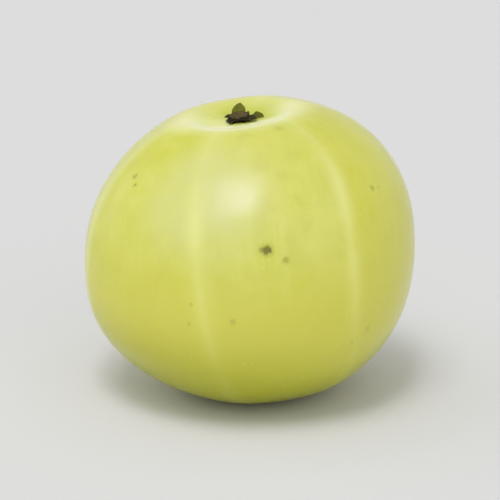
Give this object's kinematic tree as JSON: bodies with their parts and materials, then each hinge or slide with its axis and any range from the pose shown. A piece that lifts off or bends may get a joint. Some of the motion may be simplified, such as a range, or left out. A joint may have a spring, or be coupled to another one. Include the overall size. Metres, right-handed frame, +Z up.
{
  "type": "indian gooseberry",
  "caption": "Round, slightly flattened yellow-green fruit with six flatter sides that meet in faint lines, and a dried calyx in the dimple at its stalk end.",
  "frame": {"origin": "on the flat spot that the fruit rests on, under the middle of the whole fruit's box", "axes": "+Z up along the core from the tip end to the stalk end; -Y is the front; +X is the side with the higher shoulder"},
  "size_m": [0.0364, 0.0356, 0.0319],
  "materials": {
    "skin": "smooth satin fruit skin, slightly see-through, yellow-green",
    "dry_calyx": "dry and dull, dark brown with a tan middle"
  },
  "bodies": {
    "root": {"fruit": "skin", "dried_calyx": "dry_calyx"}
  },
  "joints": []
}
